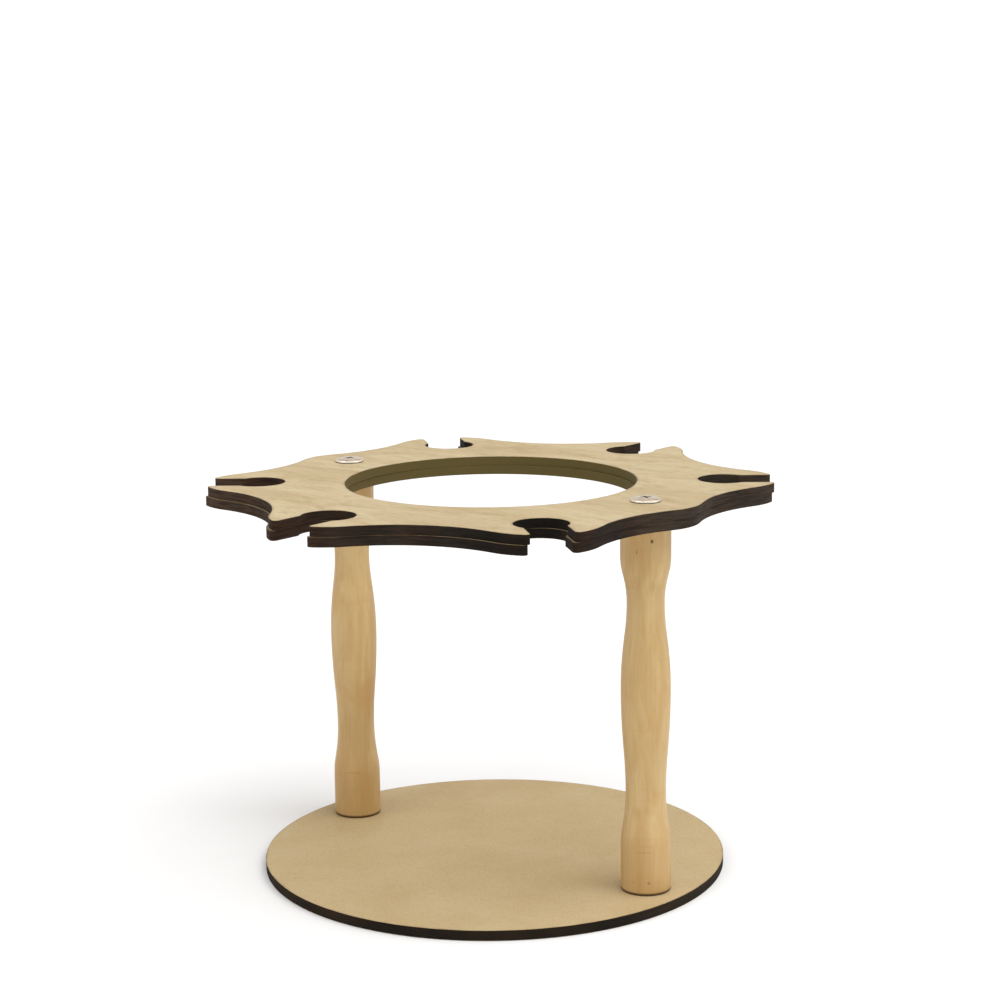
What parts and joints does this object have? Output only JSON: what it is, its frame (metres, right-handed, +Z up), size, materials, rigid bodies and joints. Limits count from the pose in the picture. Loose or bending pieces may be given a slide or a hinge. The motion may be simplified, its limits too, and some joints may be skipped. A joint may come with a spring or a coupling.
{
  "type": "wine bottle and glass holder",
  "caption": "Wooden table caddy: a round base carries two turned posts and a wavy two-layer rack with a large bottle hole and keyhole slots that take glass stems.",
  "frame": {"origin": "centre of the round base on its underside", "axes": "+Z up; the two posts stand on the X axis, left at -X and right at +X; the middle slot of each group of three points along +Y and -Y"},
  "size_m": [0.188, 0.2142, 0.1516],
  "materials": {
    "base_board": "plain MDF, matt, with a dark laser-burnt edge",
    "turned_wood": "golden turned softwood, satin",
    "rack_board": "light birch plywood, matt, with a dark laser-burnt edge",
    "screw_steel": "bright zinc-plated steel"
  },
  "bodies": {
    "root": {"base_disc": "base_board", "left_post": "turned_wood", "right_post": "turned_wood", "rack_lower_layer": "rack_board", "rack_upper_layer": "rack_board", "left_top_screw": "screw_steel", "right_top_screw": "screw_steel", "left_base_screw": "screw_steel", "right_base_screw": "screw_steel"}
  },
  "joints": []
}
